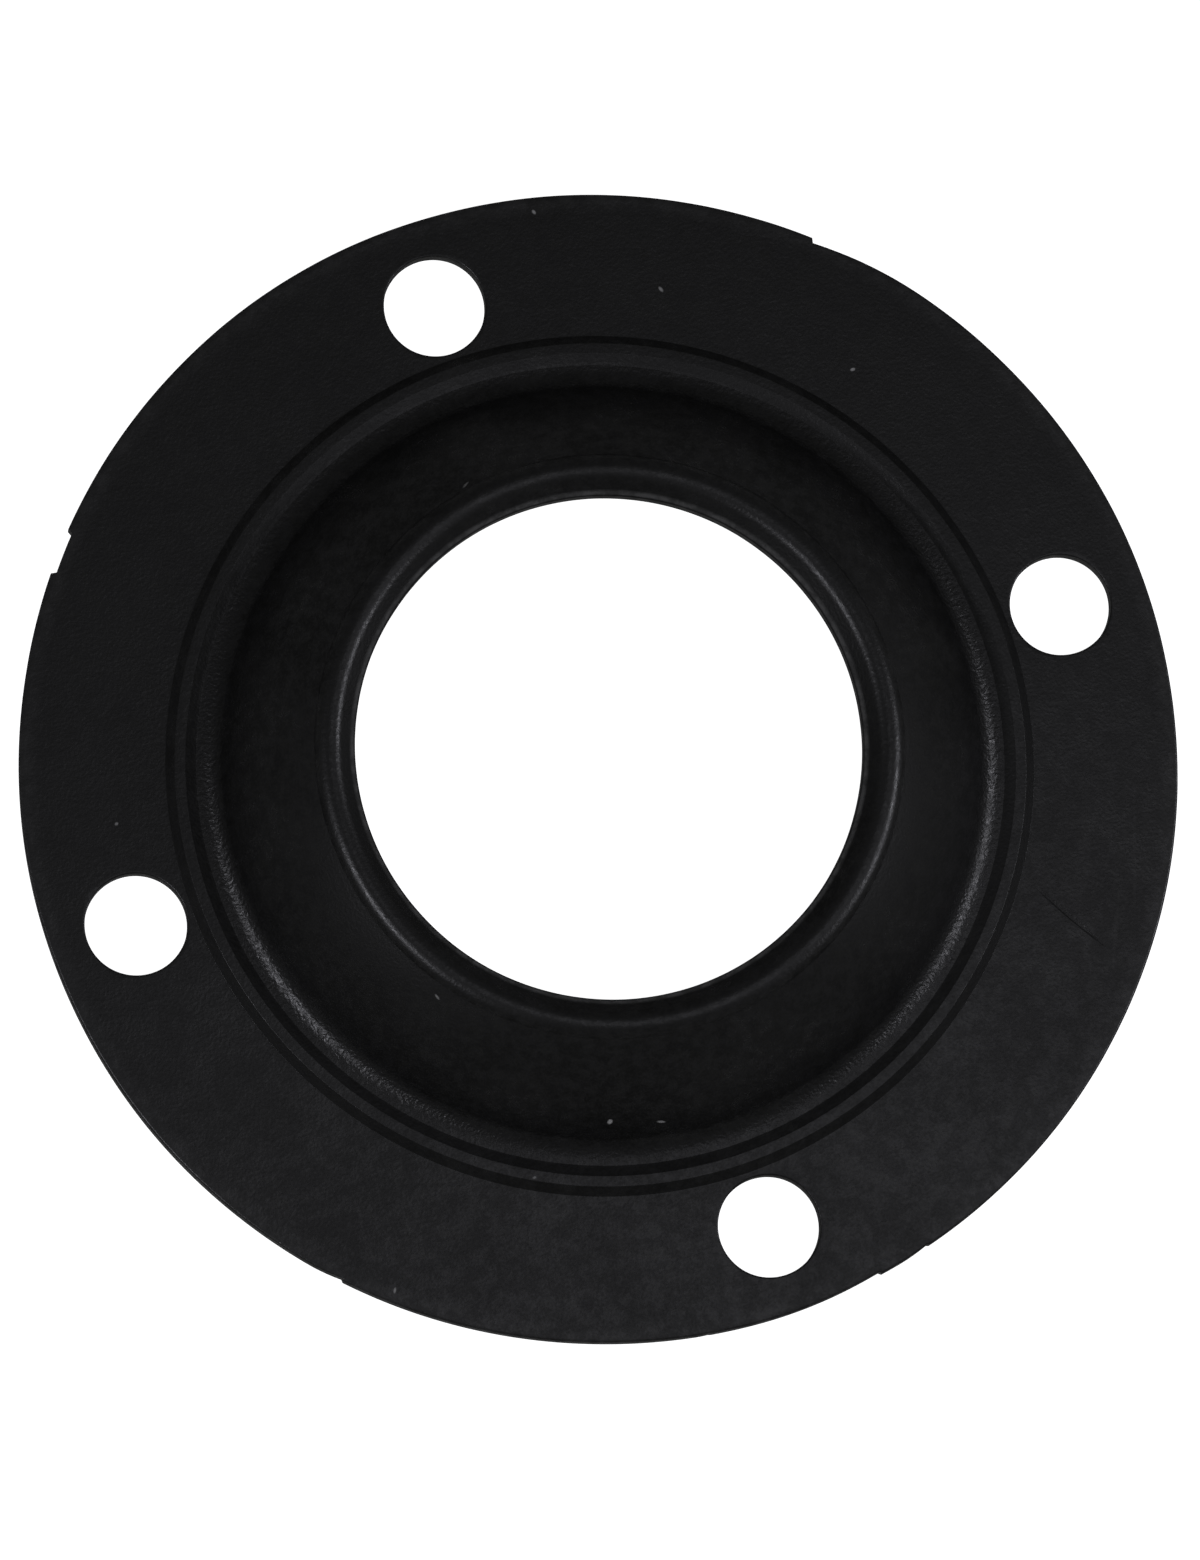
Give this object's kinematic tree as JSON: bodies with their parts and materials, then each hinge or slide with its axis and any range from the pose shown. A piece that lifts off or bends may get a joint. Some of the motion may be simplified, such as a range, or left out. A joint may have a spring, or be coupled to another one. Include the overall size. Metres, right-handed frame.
{
  "type": "toilet flange",
  "caption": "Round moulded rubber toilet flange: flat bolting flange, low sealing bead and a hollow raised collar with a thick rounded lip.",
  "frame": {"origin": "centre of the flat underside, on the collar's axis", "axes": "+Z along the collar's axis, from the flat underside towards the lip; +X through the centre of one bolt hole; +Y through the next"},
  "size_m": [0.18, 0.18, 0.0222],
  "materials": {
    "moulded_rubber": "satin black moulded rubber with a fine grain"
  },
  "bodies": {
    "root": {"bolt_flange": "moulded_rubber", "sealing_bead": "moulded_rubber", "collar_cone": "moulded_rubber", "collar_lip": "moulded_rubber"}
  },
  "joints": []
}
